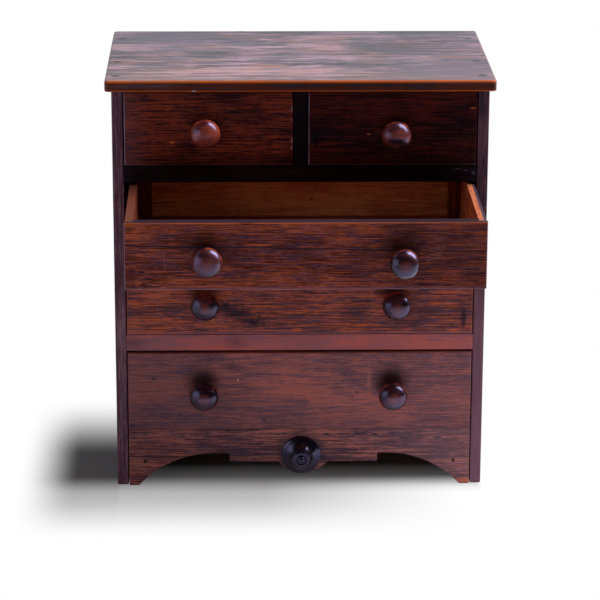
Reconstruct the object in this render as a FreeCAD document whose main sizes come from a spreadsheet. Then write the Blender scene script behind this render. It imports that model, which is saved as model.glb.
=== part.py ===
import FreeCAD, Part
import os
import re

import Sketcher
from FreeCAD import Placement, Rotation, Vector

# A table-top chest of five drawers for sewing thread: two short drawers over three long ones,
# between two upright boards, under an overhanging top and above an apron with bracket feet.
# Millimetres, +Z up, the front towards -Y. The origin is on the floor under the middle of the
# whole object's box, with the second drawer standing open.
#
# Every piece is drawn in the cabinet's own coordinates: x from the middle, y back from the
# front edges of the case, z up from the floor. Its Placement then moves it to the origin.

NEAR = 1e-4

SIZES = {
    # the case
    "case_width": 320.0,
    "side_thick": 9.5,
    "side_depth": 200.5,
    "foot_round": 2.0,
    "back_thick": 5.0,
    "back_lift": 22.0,
    "back_split": 178.0,
    "arris": 0.8,
    # the top board
    "top_thick": 9.6,
    "top_side_overhang": 5.7,
    "top_front_overhang": 3.0,
    "top_corner": 4.0,
    "top_rear_corner": 3.0,
    "top_arris": 2.0,
    # the rows of drawers, from the floor up
    "apron_height": 52.0,
    "deep_opening": 72.5,
    "third_opening": 62.6,
    "second_opening": 58.9,
    "short_opening": 64.8,
    "rail_height": 14.7,
    "rail_depth": 24.0,
    "housing_depth": 3.0,
    "housing_set_back": 6.0,
    "runner_width": 12.0,
    "centre_runner_width": 36.0,
    "divider_thick": 11.5,
    "divider_depth": 22.0,
    "guide_height": 12.0,
    "bottom_board_thick": 8.0,
    # the apron and its feet
    "apron_thick": 9.5,
    "apron_end_gap": 0.8,
    "foot_width": 9.5,
    "arch_rise": 29.5,
    "arch_flat_left": 14.4,
    "arch_flat_right": 7.6,
    "drop_width": 130.0,
    "drop_offset": 3.4,
    "drop_level": 21.7,
    "lobe_radius": 28.9,
    "lobe_level": 11.7,
    "apron_corner": 1.5,
    "foot_block_width": 20.0,
    "foot_block_depth": 16.0,
    "foot_block_lift": 14.0,
    # the turned boss on the apron
    "boss_offset": 1.3,
    "boss_level": 28.2,
    "boss_radius": 17.1,
    "boss_edge": 1.8,
    "boss_chamfer": 0.8,
    "boss_bow": 15.0,
    "boss_neck_radius": 7.6,
    "boss_neck_reach": 11.0,
    "boss_ring_radius": 6.7,
    "boss_ring_reach": 13.6,
    "boss_ring_wall": 2.2,
    "boss_ring_sink": 1.4,
    "boss_ring_chamfer": 0.5,
    "boss_bead_radius": 3.6,
    "boss_bead_reach": 15.8,
    "boss_spigot_radius": 5.0,
    "boss_spigot_length": 7.5,
    # the drawers
    "front_thick": 11.0,
    "front_proud": 1.0,
    "front_round": 1.2,
    "drawer_side_gap": 0.8,
    "worn_side_gap": 2.7,
    "drawer_top_gap": 1.8,
    "short_top_gap": 0.8,
    "front_bottom_gap": 0.4,
    "lap_depth": 6.0,
    "drawer_side_thick": 6.5,
    "drawer_side_inset": 0.5,
    "drawer_side_drop": 0.6,
    "drawer_back_thick": 7.0,
    "drawer_back_drop": 1.5,
    "drawer_bottom_thick": 4.0,
    "groove_height": 5.0,
    "groove_depth": 2.5,
    "corner_block": 10.5,
    "corner_block_drop": 6.0,
    "second_open": 121.0,
    "second_shift": 1.6,
    # the turned knobs
    "deep_knob_left": 83.5,
    "deep_knob_right": 80.8,
    "third_knob_left": 82.0,
    "third_knob_right": 83.1,
    "second_knob_left": 80.5,
    "second_knob_right": 79.8,
    "short_knob_outwards": 2.6,
    "knob_drop": 1.3,
    "low_knob_drop": 3.3,
    "knob_radius": 12.5,
    "knob_waist": 12.0,
    "knob_shoulder": 9.0,
    "knob_shoulder_angle": 50.0,
    "knob_under_radius": 9.2,
    "knob_under_reach": 7.6,
    "knob_under_bow": 5.5,
    "knob_foot_radius": 7.6,
    "knob_foot_thick": 1.0,
    "knob_neck_radius": 6.0,
    "knob_neck_reach": 3.8,
    "knob_spigot_radius": 4.0,
    "knob_spigot_length": 8.0,
    "spigot_fit": 0.05,
    # the nails
    "nail_radius": 0.9,
    "nail_head_radius": 1.6,
    "nail_head_thick": 0.8,
    "nail_proud": 0.4,
    "top_nail_sink": 1.2,
    "top_nail_length": 24.0,
    "top_nail_front": 17.0,
    "top_nail_middle": 73.0,
    "top_nail_rear": 170.0,
    "back_nail_length": 16.0,
    "back_nail_margin": 18.0,
    "apron_nail_length": 15.0,
    "apron_nail_inset": 15.0,
    "apron_nail_level": 22.4,
}

doc = FreeCAD.newDocument("SewingDrawerCabinet")
sheet = doc.addObject("Spreadsheet::Sheet", "Sizes")
for line, (alias, size) in enumerate(SIZES.items(), start=1):
    sheet.set(f"A{line}", alias)
    sheet.set(f"B{line}", str(size))
    sheet.setAlias(f"B{line}", alias)
doc.recompute()

# Places that several pieces share, as expressions of the sheet's cells.
HALF_OPENING = "(case_width / 2 - side_thick)"
DEEP_FLOOR = "apron_height"
THIRD_FLOOR = f"({DEEP_FLOOR} + deep_opening + rail_height)"
SECOND_FLOOR = f"({THIRD_FLOOR} + third_opening + rail_height)"
SHORT_FLOOR = f"({SECOND_FLOOR} + second_opening + rail_height)"
UNDER_TOP = f"({SHORT_FLOOR} + short_opening)"
APRON_BACK = "(apron_thick - front_proud)"
UNDER_BOTTOM_BOARD = "(apron_height - bottom_board_thick)"
CASE_BACK = "(side_depth + back_thick)"
CROWN_RUN = "(knob_radius - knob_shoulder)"
KNOB_REACH = (
    f"(knob_waist + knob_shoulder + {CROWN_RUN} / cos(knob_shoulder_angle)"
    " * (1 - sin(knob_shoulder_angle)))"
)
CASE_FRONT = (
    f"((second_open + front_proud + {KNOB_REACH}) - ({CASE_BACK} + nail_proud)) / 2"
)

pieces = []


def bind(text):
    """Write the sheet's aliases in an expression the way the document reads them."""
    def full_name(word):
        return f"Sizes.{word[0]}" if word[0] in SIZES else word[0]
    return re.sub(r"[a-z][a-z_]*", full_name, text)


def number(text):
    """What an expression of the sheet's cells is worth now."""
    return float(sheet.evalExpression(bind(text)))


def finished(piece, label, out="0", shift="0"):
    """Name a piece, move it from the cabinet's coordinates to the origin, and keep it."""
    piece.Label = label
    piece.setExpression("Placement.Base.x", bind(shift))
    piece.setExpression("Placement.Base.y", bind(f"{CASE_FRONT} - ({out})"))
    pieces.append(piece)
    return piece


def block(name, low, high):
    """A box between two corners, in the cabinet's coordinates."""
    box = doc.addObject("Part::Box", name)
    for side, start, end in zip(("Length", "Width", "Height"), low, high):
        box.setExpression(side, bind(f"({end}) - ({start})"))
    for axis, start in zip("xyz", low):
        box.setExpression(f"Placement.Base.{axis}", bind(start))
    return box


def board(label, low, high, out="0", shift="0"):
    """A plain sawn board, which needs no tool after the saw."""
    box = block(label, low, high)
    box.setExpression("Placement.Base.x", bind(f"({low[0]}) + ({shift})"))
    box.setExpression("Placement.Base.y", bind(f"({low[1]}) + {CASE_FRONT} - ({out})"))
    box.Label = label
    pieces.append(box)
    return box


def grooved_board(label, low, high, groove_low, groove_high, out, shift):
    """A board with one groove ploughed along it."""
    stock = block(f"{label}_stock", low, high)
    groove = block(f"{label}_groove", groove_low, groove_high)
    cut = doc.addObject("Part::Cut", label)
    cut.Base = stock
    cut.Tool = groove
    return finished(cut, label, out, shift)


def sketch_on(body, plane, offset="0"):
    """A sketch on one of the body's own origin planes, moved along the plane's normal."""
    sketch = body.newObject("Sketcher::SketchObject", f"{body.Name}_sketch")
    support = next(item for item in body.Origin.OriginFeatures if item.Role == plane)
    sketch.AttachmentSupport = [(support, "")]
    sketch.MapMode = "FlatFace"
    sketch.setExpression("AttachmentOffset.Base.z", bind(offset))
    return sketch


def tie(sketch, constraint, expression):
    index = sketch.addConstraint(constraint)
    sketch.setExpression(f"Constraints[{index}]", bind(expression))


def pin(sketch, curve, end, corner):
    """Hold a curve's end at the distances that two expressions give."""
    for kind, expression in zip(("DistanceX", "DistanceY"), corner):
        distance = Sketcher.Constraint(kind, -1, 1, curve, end, number(expression))
        tie(sketch, distance, expression)


def arc_through(start, end, radius, side):
    """The shorter arc from start to end, bowed to the left (side 1) or right (-1) of the way."""
    chord = end - start
    leftwards = Vector(-chord.y, chord.x, 0).normalize()
    bow = radius - (radius**2 - (chord.Length / 2) ** 2) ** 0.5
    return Part.Arc(start, (start + end) / 2 + leftwards * bow * side, end)


def draw(sketch, corners, arcs=None):
    """A closed outline. arcs maps a corner's number to the (radius, side) of the arc after it."""
    arcs = arcs or {}
    spots = [Vector(number(x), number(y), 0) for x, y in corners]
    ends = []
    for index, start in enumerate(spots):
        end = spots[(index + 1) % len(spots)]
        if index in arcs:
            radius, side = arcs[index]
            shape = arc_through(start, end, number(radius), side)
        else:
            shape = Part.LineSegment(start, end)
        curve = sketch.addGeometry(shape, False)
        forwards = sketch.getPoint(curve, 1).distanceToPoint(start) < NEAR
        ends.append((curve, 1, 2) if forwards else (curve, 2, 1))
    for index, (curve, first, last) in enumerate(ends):
        next_curve, next_first, _ = ends[(index + 1) % len(ends)]
        sketch.addConstraint(Sketcher.Constraint("Coincident", curve, last, next_curve, next_first))
        pin(sketch, curve, first, corners[index])
        if index in arcs:
            radius = arcs[index][0]
            tie(sketch, Sketcher.Constraint("Radius", curve, number(radius)), radius)


def draw_circle(sketch, centre, radius):
    spot = Vector(number(centre[0]), number(centre[1]), 0)
    curve = sketch.addGeometry(Part.Circle(spot, Vector(0, 0, 1), number(radius)), False)
    pin(sketch, curve, 3, centre)
    tie(sketch, Sketcher.Constraint("Radius", curve, number(radius)), radius)


def rectangle(low, high):
    return [(low[0], low[1]), (high[0], low[1]), (high[0], high[1]), (low[0], high[1])]


def new_body(name):
    return doc.addObject("PartDesign::Body", name)


def pad(body, sketch, length):
    feature = body.newObject("PartDesign::Pad", f"{body.Name}_pad")
    feature.Profile = sketch
    feature.setExpression("Length", bind(length))
    doc.recompute()


def pocket(body, sketch, depth):
    """Cut the sketch into the body, to the side of its plane where the wood is."""
    before = body.Tip.Shape.Volume
    feature = body.newObject("PartDesign::Pocket", f"{body.Name}_pocket")
    feature.Profile = sketch
    feature.setExpression("Length", bind(depth))
    doc.recompute()
    if not feature.isValid() or before - feature.Shape.Volume < NEAR:
        feature.Reversed = True
        doc.recompute()


def turn(body, sketch):
    feature = body.newObject("PartDesign::Revolution", f"{body.Name}_turned")
    feature.Profile = sketch
    feature.ReferenceAxis = (sketch, ["V_Axis"])
    feature.Angle = 360
    doc.recompute()


def ease(body, radius, chosen):
    """Round off the edges of the body that the test picks by their box."""
    base = body.Tip
    edges = enumerate(base.Shape.Edges, start=1)
    names = [f"Edge{index}" for index, edge in edges if chosen(edge.BoundBox)]
    feature = body.newObject("PartDesign::Fillet", f"{body.Name}_eased")
    feature.Base = (base, names)
    feature.setExpression("Radius", bind(radius))
    doc.recompute()


def is_mouth(edge, radius):
    """Whether an edge is the mouth of a hole of this radius that is bored from the front."""
    width = 2 * number(radius)
    return abs(edge.XLength - width) < NEAR and abs(edge.ZLength - width) < NEAR


def top_board():
    body = new_body("top_board")
    half = "(case_width / 2 + top_side_overhang)"
    front = "-top_front_overhang"
    corners = [
        (f"-{half} + top_corner", front),
        (f"{half} - top_corner", front),
        (half, f"{front} + top_corner"),
        (half, f"{CASE_BACK} - top_rear_corner"),
        (f"{half} - top_rear_corner", CASE_BACK),
        (f"-{half} + top_rear_corner", CASE_BACK),
        (f"-{half}", f"{CASE_BACK} - top_rear_corner"),
        (f"-{half}", f"{front} + top_corner"),
    ]
    arcs = {corner: ("top_corner", -1) for corner in (1, 7)}
    arcs.update({corner: ("top_rear_corner", -1) for corner in (3, 5)})
    sketch = sketch_on(body, "XY_Plane", UNDER_TOP)
    draw(sketch, corners, arcs)
    pad(body, sketch, "top_thick")
    upper_face = number(f"{UNDER_TOP} + top_thick")
    under_face = number(UNDER_TOP)
    ease(body, "top_arris", lambda edge: edge.ZMin > upper_face - NEAR)
    ease(body, "arris", lambda edge: edge.ZMax < under_face + NEAR)
    finished(body, "top_board")


def case_side(label, hand):
    """An upright side board: hand is -1 on the left and 1 on the right."""
    body = new_body(label)
    outer = "-case_width / 2" if hand < 0 else HALF_OPENING
    inner = f"{hand} * {HALF_OPENING}"
    stock = sketch_on(body, "YZ_Plane", outer)
    draw(stock, rectangle(("0", "0"), ("side_depth", UNDER_TOP)))
    pad(body, stock, "side_thick")
    for floor in (THIRD_FLOOR, SECOND_FLOOR, SHORT_FLOOR):
        housing = sketch_on(body, "YZ_Plane", inner)
        draw(housing, rectangle(("housing_set_back", f"{floor} - rail_height"), ("rail_depth", floor)))
        pocket(body, housing, "housing_depth")
    shelf = sketch_on(body, "YZ_Plane", inner)
    draw(shelf, rectangle((APRON_BACK, UNDER_BOTTOM_BOARD), ("side_depth", "apron_height")))
    pocket(body, shelf, "housing_depth")
    under_top = number(UNDER_TOP)
    ease(body, "foot_round", lambda edge: edge.ZMax < NEAR and edge.YLength < NEAR)
    ease(body, "arris", lambda edge: edge.YMax < NEAR and edge.ZMin < under_top - NEAR)
    finished(body, label)


def rail(label, floor):
    """A front rail, with a stub tongue housed in each side board."""
    body = new_body(label)
    end = f"({HALF_OPENING} + housing_depth)"
    corners = [
        (f"-{HALF_OPENING}", "0"),
        (HALF_OPENING, "0"),
        (HALF_OPENING, "housing_set_back"),
        (end, "housing_set_back"),
        (end, "rail_depth"),
        (f"-{end}", "rail_depth"),
        (f"-{end}", "housing_set_back"),
        (f"-{HALF_OPENING}", "housing_set_back"),
    ]
    sketch = sketch_on(body, "XY_Plane", f"{floor} - rail_height")
    draw(sketch, corners)
    pad(body, sketch, "rail_height")
    ease(body, "arris", lambda edge: edge.YMax < NEAR and edge.ZLength < NEAR)
    finished(body, label)


def runner(label, low_x, high_x, floor):
    low = (low_x, "rail_depth", f"{floor} - rail_height")
    board(label, low, (high_x, "side_depth", floor))


def centre_divider():
    body = new_body("centre_divider")
    sketch = sketch_on(body, "XY_Plane", SHORT_FLOOR)
    draw(sketch, rectangle(("-divider_thick / 2", "0"), ("divider_thick / 2", "divider_depth")))
    pad(body, sketch, "short_opening")
    ease(body, "arris", lambda edge: edge.YMax < NEAR and edge.XLength < NEAR)
    finished(body, "centre_divider")


def apron():
    """The shaped board across the foot: two arches, a stepped drop with a lobe, bracket feet."""
    body = new_body("apron")
    end = f"({HALF_OPENING} - apron_end_gap)"
    foot = f"({HALF_OPENING} - foot_width)"
    drop_left = "(drop_offset - drop_width / 2)"
    drop_right = "(drop_offset + drop_width / 2)"
    left_level = f"({drop_left} - arch_flat_left)"
    right_level = f"({drop_right} + arch_flat_right)"
    lobe_half = "sqrt(lobe_radius ^ 2 - (lobe_radius - drop_level + lobe_level) ^ 2)"
    corners = [
        (f"-{end}", "0"),
        (f"-{foot}", "0"),
        (left_level, "arch_rise"),
        (drop_left, "arch_rise"),
        (drop_left, "drop_level"),
        (f"drop_offset - {lobe_half}", "drop_level"),
        (f"drop_offset + {lobe_half}", "drop_level"),
        (drop_right, "drop_level"),
        (drop_right, "arch_rise"),
        (right_level, "arch_rise"),
        (foot, "0"),
        (end, "0"),
        (end, "apron_height"),
        (f"-{end}", "apron_height"),
    ]
    left_arch = f"(({foot} + {left_level}) ^ 2 + arch_rise ^ 2) / (2 * arch_rise)"
    right_arch = f"(({foot} - {right_level}) ^ 2 + arch_rise ^ 2) / (2 * arch_rise)"
    sketch = sketch_on(body, "XZ_Plane", f"-{APRON_BACK}")
    draw(sketch, corners, {1: (left_arch, 1), 5: ("lobe_radius", -1), 9: (right_arch, 1)})
    pad(body, sketch, "apron_thick")
    socket = "(boss_spigot_radius + spigot_fit)"
    hole = sketch_on(body, "XZ_Plane", "front_proud")
    draw_circle(hole, ("boss_offset", "boss_level"), socket)
    pocket(body, hole, "boss_spigot_length")

    steps = [(x, z) for x in (drop_left, drop_right) for z in ("arch_rise", "drop_level")]
    toes = [(f"-{foot}", "0"), (foot, "0")]
    spots = [Vector(number(x), 0, number(z)) for x, z in steps + toes]

    def at_corner(edge):
        place = Vector(edge.XMin, 0, edge.ZMin)
        runs_back = edge.XLength < NEAR and edge.ZLength < NEAR
        return runs_back and any(place.distanceToPoint(spot) < NEAR for spot in spots)

    ease(body, "apron_corner", at_corner)
    face = number("-front_proud")
    top = number("apron_height")
    ease(body, "arris", lambda edge: edge.YMax < face + NEAR and edge.ZMin < top - NEAR
         and not is_mouth(edge, socket))
    finished(body, "apron")


def boss():
    """The black turned boss: a disc that flares from a neck, with a raised ring and a bead in it."""
    body = new_body("apron_boss")
    recess = "(boss_ring_reach - boss_ring_sink)"
    bead = "((boss_bead_radius ^ 2 + (boss_bead_reach - boss_ring_reach + boss_ring_sink) ^ 2)" \
           " / (2 * (boss_bead_reach - boss_ring_reach + boss_ring_sink)))"
    corners = [
        ("0", "boss_spigot_length"),
        ("boss_spigot_radius", "boss_spigot_length"),
        ("boss_spigot_radius", "0"),
        ("boss_radius", "0"),
        ("boss_radius", "-boss_edge"),
        ("boss_radius - boss_chamfer", "-boss_edge - boss_chamfer"),
        ("boss_neck_radius", "-boss_neck_reach"),
        ("boss_ring_radius", "-boss_neck_reach"),
        ("boss_ring_radius", "-boss_ring_reach + boss_ring_chamfer"),
        ("boss_ring_radius - boss_ring_chamfer", "-boss_ring_reach"),
        ("boss_ring_radius - boss_ring_wall + boss_ring_chamfer", "-boss_ring_reach"),
        ("boss_ring_radius - boss_ring_wall", f"-{recess}"),
        ("boss_bead_radius", f"-{recess}"),
        ("0", "-boss_bead_reach"),
    ]
    arcs = {5: ("boss_bow", -1), 12: (bead, 1)}
    sketch = sketch_on(body, "XY_Plane")
    draw(sketch, corners, arcs)
    turn(body, sketch)
    body.setExpression("Placement.Base.z", bind("boss_level"))
    finished(body, "apron_boss", "front_proud", "boss_offset")


def knob(label, x, z, out):
    """A turned mushroom knob, its spigot glued into the drawer front."""
    body = new_body(label)
    crown = f"(knob_shoulder + {CROWN_RUN} / cos(knob_shoulder_angle))"
    join = (
        f"{CROWN_RUN} + knob_shoulder * cos(knob_shoulder_angle)",
        "-knob_waist - knob_shoulder * sin(knob_shoulder_angle)",
    )
    corners = [
        ("0", "knob_spigot_length"),
        ("knob_spigot_radius", "knob_spigot_length"),
        ("knob_spigot_radius", "0"),
        ("knob_foot_radius", "0"),
        ("knob_foot_radius", "-knob_foot_thick"),
        ("knob_neck_radius", "-knob_neck_reach"),
        ("knob_under_radius", "-knob_under_reach"),
        ("knob_radius", "-knob_waist"),
        join,
        ("0", f"-{KNOB_REACH}"),
    ]
    arcs = {6: ("knob_under_bow", 1), 7: ("knob_shoulder", 1), 8: (crown, 1)}
    sketch = sketch_on(body, "XY_Plane")
    draw(sketch, corners, arcs)
    turn(body, sketch)
    body.setExpression("Placement.Base.z", bind(z))
    finished(body, label, f"({out}) + front_proud", x)


def drawer(name, low_x, high_x, floor, opening, knobs, out="0", shift="0",
           gap="drawer_side_gap", top_gap="drawer_top_gap", blocks=True, square_foot=False):
    """A drawer: a front with its sides lapped into it, a back, a bottom in grooves, and knobs.

    low_x and high_x are the ends of its opening, out is how far it stands open, and knobs maps
    each knob's name to its x and to how far it sits below the middle of the front. A square
    foot is a front whose lower edge isn't eased.
    """
    left = f"({low_x} + {gap})"
    right = f"({high_x} - {gap})"
    lip = "(drawer_side_inset + drawer_side_thick)"
    face = "-front_proud"
    shoulder = "(front_thick - front_proud - lap_depth)"
    behind_front = "(front_thick - front_proud)"
    front_floor = f"({floor} + front_bottom_gap)"
    front_top = f"({floor} + {opening} - {top_gap})"
    side_top = f"({front_top} - drawer_side_drop)"
    panel_floor = f"({floor} + groove_height)"
    panel_top = f"({panel_floor} + drawer_bottom_thick)"
    middle = f"(({front_floor} + {front_top}) / 2)"
    socket = "(knob_spigot_radius + spigot_fit)"

    front = new_body(f"{name}_front")
    plan = sketch_on(front, "XY_Plane", front_floor)
    draw(plan, [
        (left, face),
        (right, face),
        (right, shoulder),
        (f"{right} - {lip}", shoulder),
        (f"{right} - {lip}", behind_front),
        (f"{left} + {lip}", behind_front),
        (f"{left} + {lip}", shoulder),
        (left, shoulder),
    ])
    pad(front, plan, f"{front_top} - {front_floor}")
    groove = sketch_on(front, "XZ_Plane", f"-{behind_front}")
    draw(groove, rectangle((f"{left} + {lip} - groove_depth", panel_floor),
                           (f"{right} - {lip} + groove_depth", panel_top)))
    pocket(front, groove, "groove_depth")
    for x, drop in knobs.values():
        hole = sketch_on(front, "XZ_Plane", "front_proud")
        draw_circle(hole, (x, f"{middle} - {drop}"), socket)
        pocket(front, hole, "knob_spigot_length")
    on_face = number(face)
    foot = number(front_floor)
    ease(front, "front_round", lambda edge: edge.YMax < on_face + NEAR
         and not is_mouth(edge, socket) and not (square_foot and edge.ZMax < foot + NEAR))
    finished(front, f"{name}_front", out, shift)

    left_outer = f"{left} + drawer_side_inset"
    left_inner = f"({left} + {lip})"
    right_outer = f"{right} - drawer_side_inset"
    right_inner = f"({right} - {lip})"
    grooved_board(
        f"{name}_side_left",
        (left_outer, shoulder, floor), (left_inner, "side_depth", side_top),
        (f"{left_inner} - groove_depth", shoulder, panel_floor), (left_inner, "side_depth", panel_top),
        out, shift,
    )
    grooved_board(
        f"{name}_side_right",
        (right_inner, shoulder, floor), (right_outer, "side_depth", side_top),
        (right_inner, shoulder, panel_floor), (f"{right_inner} + groove_depth", "side_depth", panel_top),
        out, shift,
    )
    back_face = "(side_depth - drawer_back_thick)"
    board(f"{name}_back", (left_inner, back_face, panel_top),
          (right_inner, "side_depth", f"{side_top} - drawer_back_drop"), out, shift)
    board(f"{name}_bottom", (f"{left_inner} - groove_depth", f"{behind_front} - groove_depth", panel_floor),
          (f"{right_inner} + groove_depth", "side_depth", panel_top), out, shift)
    for knob_name, (x, drop) in knobs.items():
        knob(f"{name}_{knob_name}", f"({x}) + ({shift})", f"{middle} - {drop}", out)
    if blocks:
        corner_blocks(f"{name}_corner_blocks", left_inner, right_inner, back_face, panel_top, side_top,
                      out, shift)


def corner_blocks(label, left_inner, right_inner, back_face, panel_top, side_top, out, shift):
    """Two square glue blocks, upright in the rear corners of a drawer."""
    top = f"{side_top} - corner_block_drop"
    front = f"{back_face} - corner_block"
    pair = [
        block(f"{label}_left", (left_inner, front, panel_top),
              (f"{left_inner} + corner_block", back_face, top)),
        block(f"{label}_right", (f"{right_inner} - corner_block", front, panel_top),
              (right_inner, back_face, top)),
    ]
    group = doc.addObject("Part::Compound", label)
    group.Links = pair
    finished(group, label, out, shift)


def foot_glue_blocks():
    """Two blocks in the corners behind the bracket feet."""
    pair = []
    for name, low_x, high_x in (
        ("foot_block_left", f"-{HALF_OPENING}", f"-{HALF_OPENING} + foot_block_width"),
        ("foot_block_right", f"{HALF_OPENING} - foot_block_width", HALF_OPENING),
    ):
        low = (low_x, APRON_BACK, "foot_block_lift")
        high = (high_x, f"{APRON_BACK} + foot_block_depth", UNDER_BOTTOM_BOARD)
        pair.append(block(name, low, high))
    group = doc.addObject("Part::Compound", "foot_glue_blocks")
    group.Links = pair
    finished(group, "foot_glue_blocks")


def nails(label, heads, way, length):
    """A group of nails. heads are the tops of their heads, and way is where they point."""
    turned = Rotation(Vector(0, 0, 1), Vector(*way))
    group = []
    for number_in_group, head in enumerate(heads, start=1):
        solids = []
        for part, radius, reach in (("head", "nail_head_radius", "nail_head_thick"),
                                    ("shank", "nail_radius", length)):
            cylinder = doc.addObject("Part::Cylinder", f"{label}_{part}_{number_in_group}")
            cylinder.Placement = Placement(Vector(), turned)
            cylinder.setExpression("Radius", bind(radius))
            cylinder.setExpression("Height", bind(reach))
            for axis, place in zip("xyz", head):
                cylinder.setExpression(f"Placement.Base.{axis}", bind(place))
            solids.append(cylinder)
        nail = doc.addObject("Part::Fuse", f"{label}_{number_in_group}")
        nail.Base, nail.Tool = solids
        group.append(nail)
    compound = doc.addObject("Part::Compound", label)
    compound.Links = group
    finished(compound, label)


def all_nails():
    in_side = "(case_width / 2 - side_thick / 2)"
    on_top = f"{UNDER_TOP} + top_thick - top_nail_sink"
    top_heads = [
        (f"{hand} * {in_side}", y, on_top)
        for hand in (-1, 1) for y in ("top_nail_front", "top_nail_middle", "top_nail_rear")
    ]
    nails("top_board_nails", top_heads, (0, 0, -1), "top_nail_length")
    back_levels = [
        "back_lift + back_nail_margin", "(back_lift + back_split) / 2", "back_split - back_nail_margin",
        "back_split + back_nail_margin", f"(back_split + {UNDER_TOP}) / 2",
        f"{UNDER_TOP} - back_nail_margin",
    ]
    back_heads = [
        (f"{hand} * {in_side}", f"{CASE_BACK} + nail_proud", z) for hand in (-1, 1) for z in back_levels
    ]
    nails("back_board_nails", back_heads, (0, -1, 0), "back_nail_length")
    apron_heads = [
        (f"{hand} * ({HALF_OPENING} - apron_nail_inset)", "-front_proud - nail_proud", "apron_nail_level")
        for hand in (-1, 1)
    ]
    nails("apron_nails", apron_heads, (0, 1, 0), "apron_nail_length")


def carcass():
    top_board()
    case_side("side_left", -1)
    case_side("side_right", 1)
    half_width = "case_width / 2"
    board("back_board_lower", (f"-{half_width}", "side_depth", "back_lift"),
          (half_width, CASE_BACK, "back_split"))
    board("back_board_upper", (f"-{half_width}", "side_depth", "back_split"),
          (half_width, CASE_BACK, UNDER_TOP))
    for name, floor in (("lower", THIRD_FLOOR), ("middle", SECOND_FLOOR), ("upper", SHORT_FLOOR)):
        rail(f"rail_{name}", floor)
        runner(f"runner_{name}_left", f"-{HALF_OPENING}", f"-{HALF_OPENING} + runner_width", floor)
        runner(f"runner_{name}_right", f"{HALF_OPENING} - runner_width", HALF_OPENING, floor)
    runner("runner_upper_centre", "-centre_runner_width / 2", "centre_runner_width / 2", SHORT_FLOOR)
    centre_divider()
    board("centre_guide", ("-divider_thick / 2", "divider_depth", SHORT_FLOOR),
          ("divider_thick / 2", "side_depth", f"{SHORT_FLOOR} + guide_height"))
    end = f"({HALF_OPENING} + housing_depth)"
    board("bottom_board", (f"-{end}", APRON_BACK, UNDER_BOTTOM_BOARD),
          (end, "side_depth", "apron_height"))
    apron()
    boss()
    foot_glue_blocks()
    all_nails()


def drawers():
    left, right = f"-{HALF_OPENING}", HALF_OPENING
    drawer("deep_drawer", left, right, DEEP_FLOOR, "deep_opening", {
        "knob_left": ("-deep_knob_left", "knob_drop"),
        "knob_right": ("deep_knob_right", "knob_drop"),
    }, square_foot=True)
    drawer("third_drawer", left, right, THIRD_FLOOR, "third_opening", {
        "knob_left": ("-third_knob_left", "knob_drop"),
        "knob_right": ("third_knob_right", "knob_drop"),
    })
    drawer("second_drawer", left, right, SECOND_FLOOR, "second_opening", {
        "knob_left": ("-second_knob_left", "knob_drop"),
        "knob_right": ("second_knob_right", "low_knob_drop"),
    }, out="second_open", shift="second_shift", gap="worn_side_gap")
    short_knob = f"(({HALF_OPENING} + divider_thick / 2) / 2 + short_knob_outwards)"
    drawer("short_drawer_left", left, "-divider_thick / 2", SHORT_FLOOR, "short_opening",
           {"knob": (f"-{short_knob}", "knob_drop")}, top_gap="short_top_gap", blocks=False)
    drawer("short_drawer_right", "divider_thick / 2", right, SHORT_FLOOR, "short_opening",
           {"knob": (short_knob, "low_knob_drop")}, top_gap="short_top_gap", blocks=False)


carcass()
drawers()
doc.recompute()

failed = [item.Name for item in doc.Objects if {"Invalid", "Error"} & set(item.State)]
if failed:
    raise RuntimeError(f"these objects failed: {failed}")
for piece in pieces:
    if piece.Shape.isNull() or not piece.Shape.isValid() or not piece.Shape.Solids:
        raise RuntimeError(f"{piece.Label} has no sound solid")

os.makedirs("parts", exist_ok=True)
for piece in pieces:
    piece.Shape.exportStep(f"parts/{piece.Label}.step")
print(len(pieces), "pieces")
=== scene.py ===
import cmath
from math import cos, hypot, pi, radians, sin

import bpy
from mathutils import Matrix, Vector


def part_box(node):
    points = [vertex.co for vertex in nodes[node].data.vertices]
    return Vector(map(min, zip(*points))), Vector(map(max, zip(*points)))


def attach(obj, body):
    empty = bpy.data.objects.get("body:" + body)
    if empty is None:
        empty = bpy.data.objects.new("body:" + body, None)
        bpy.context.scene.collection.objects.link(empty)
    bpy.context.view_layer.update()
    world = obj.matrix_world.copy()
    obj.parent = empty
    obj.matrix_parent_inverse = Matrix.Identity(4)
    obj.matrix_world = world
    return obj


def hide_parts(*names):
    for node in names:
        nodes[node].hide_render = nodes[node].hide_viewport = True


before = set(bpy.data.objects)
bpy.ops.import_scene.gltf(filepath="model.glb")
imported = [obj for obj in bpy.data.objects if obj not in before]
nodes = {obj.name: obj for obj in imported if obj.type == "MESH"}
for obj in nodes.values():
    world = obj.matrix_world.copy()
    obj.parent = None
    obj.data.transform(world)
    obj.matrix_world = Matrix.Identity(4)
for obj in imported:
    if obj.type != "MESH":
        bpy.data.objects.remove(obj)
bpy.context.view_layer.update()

# ---------------------------------------------------------------------------------------------
# The camera: a long lens a little above the cabinet and nearly square to its front, as for a
# catalogue of small furniture.
# ---------------------------------------------------------------------------------------------
CASE_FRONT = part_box("side_left")[0].y
IMAGE_PIXELS = 600
FOCAL_PIXELS = 2700
SENSOR_MM = 36
EYE = Vector((-0.0581, CASE_FRONT - 2.2281, 0.8640))
YAW, PITCH, ROLL = radians(1.493), radians(17.291), radians(0.207)

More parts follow.
